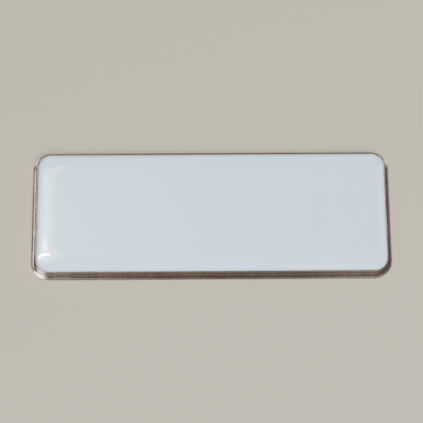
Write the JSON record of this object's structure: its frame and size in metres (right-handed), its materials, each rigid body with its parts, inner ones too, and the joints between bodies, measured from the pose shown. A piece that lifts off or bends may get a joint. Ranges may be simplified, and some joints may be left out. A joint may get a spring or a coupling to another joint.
{
  "type": "name badge",
  "caption": "Blank rectangular name badge: a glossy white domed panel in a double-stepped nickel rim, with a flat steel bar in the hollow back for a magnet clasp.",
  "frame": {"origin": "middle of the rim's flat underside, on the surface that the badge lies on", "axes": "+X along the length, +Y towards the upper long edge, +Z out of the face"},
  "size_m": [0.0724, 0.0274, 0.0036],
  "materials": {
    "pan_nickel": "worn nickel plate, brown-grey where it mirrors the table",
    "bezel_nickel": "dulled nickel plate with fine upright streaks and a bright crest",
    "panel_white": "cool white high gloss with a faint hairline scratch and soft smudges",
    "bar_steel": "plain flat steel brushed along its length"
  },
  "bodies": {
    "root": {"base_pan": "pan_nickel", "bezel_ring": "bezel_nickel", "domed_panel": "panel_white", "keeper_bar": "bar_steel"}
  },
  "joints": []
}
